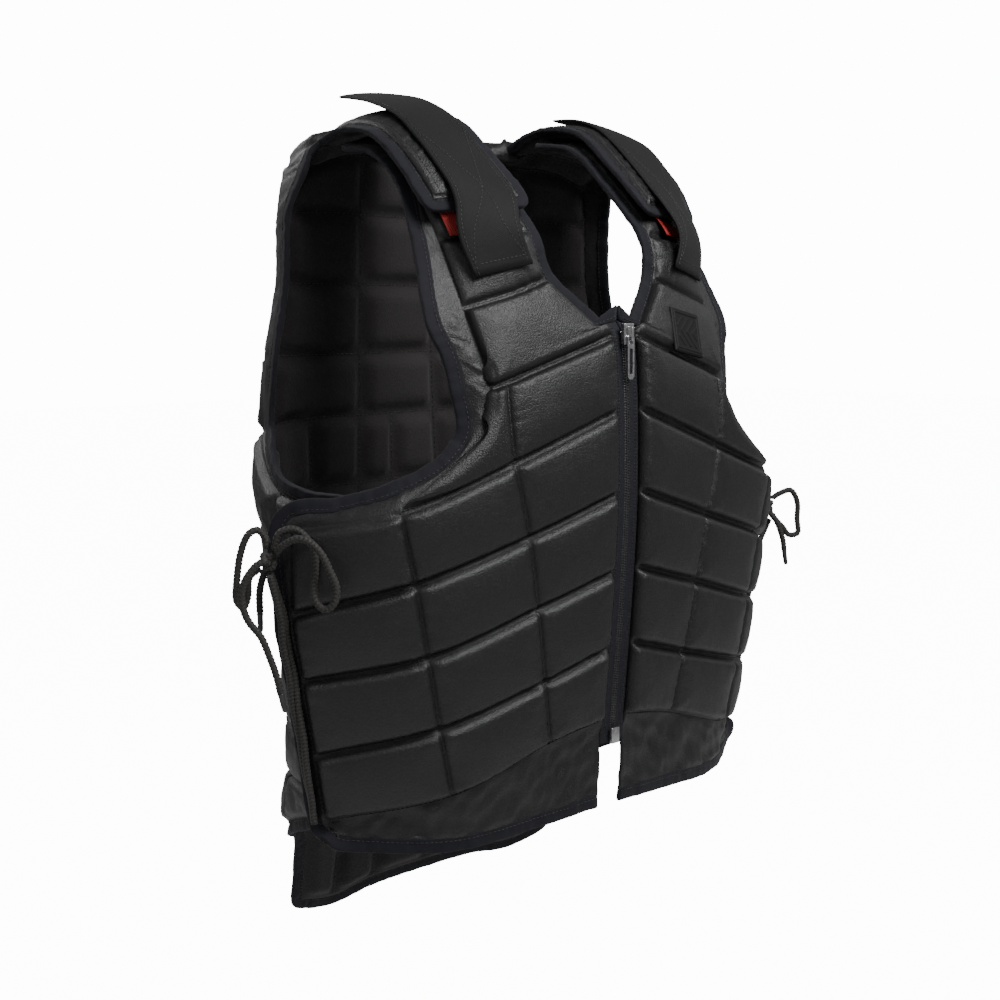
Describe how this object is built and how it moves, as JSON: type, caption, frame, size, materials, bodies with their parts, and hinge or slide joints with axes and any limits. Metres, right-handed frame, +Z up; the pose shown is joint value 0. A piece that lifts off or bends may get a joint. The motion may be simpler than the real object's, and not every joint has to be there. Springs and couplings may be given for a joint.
{
  "type": "equestrian body protector",
  "caption": "Padded riding vest: foam-block back with a longer tail, two zipped fronts, shoulder flaps held by hook-and-loop straps, and a cord laced up each side",
  "frame": {"origin": "at the seat of the shoulders, in the middle between them, where a torso or hanger carries it", "axes": "+X is the wearer's left, -Y is the chest, +Z is up"},
  "size_m": [0.5453, 0.2669, 0.6608],
  "materials": {
    "shell_cloth": "satin black coated nylon over foam blocks, with a dark mesh lining inside",
    "binding": "matt bluish-black folded binding tape",
    "strap": "matt black hook-and-loop strap with sewn lines",
    "red_webbing": "red woven webbing",
    "zip_tape": "woven bluish-black zip tape",
    "metal": "worn bright zip metal",
    "lace": "round braided black cord",
    "lace_tip": "black moulded lace tip"
  },
  "bodies": {
    "vest": {"back_panel": "shell_cloth", "back_binding": "binding", "front_panel_right": "shell_cloth", "front_binding_right": "binding", "shoulder_strap_right": "strap", "red_band_right": "red_webbing", "zip_tape_right": "zip_tape", "lace_run_right": "lace", "lace_knot_right": "lace", "front_panel_left": "shell_cloth", "front_binding_left": "binding", "shoulder_strap_left": "strap", "red_band_left": "red_webbing", "zip_tape_left": "zip_tape", "lace_run_left": "lace", "lace_knot_left": "lace", "zip_chain": "metal", "zip_slider": "metal", "zip_box": "metal", "badge": "shell_cloth", "lace_loop_right_front": "lace", "lace_loop_right_back": "lace", "lace_loop_left": "lace", "lace_tail_right_long": "lace", "lace_aglet_right_long": "lace_tip", "lace_tail_right_short": "lace", "lace_aglet_right_short": "lace_tip", "lace_tail_left": "lace", "lace_aglet_left": "lace_tip"},
    "puller": {"zip_puller": "metal"}
  },
  "joints": [
    {"name": "puller_hinge", "type": "hinge", "parent": "vest", "child": "puller", "pos_m": [0, -0.12958, -0.13925], "axis": [-1, 0, 0], "range_deg": [0, 135]}
  ]
}
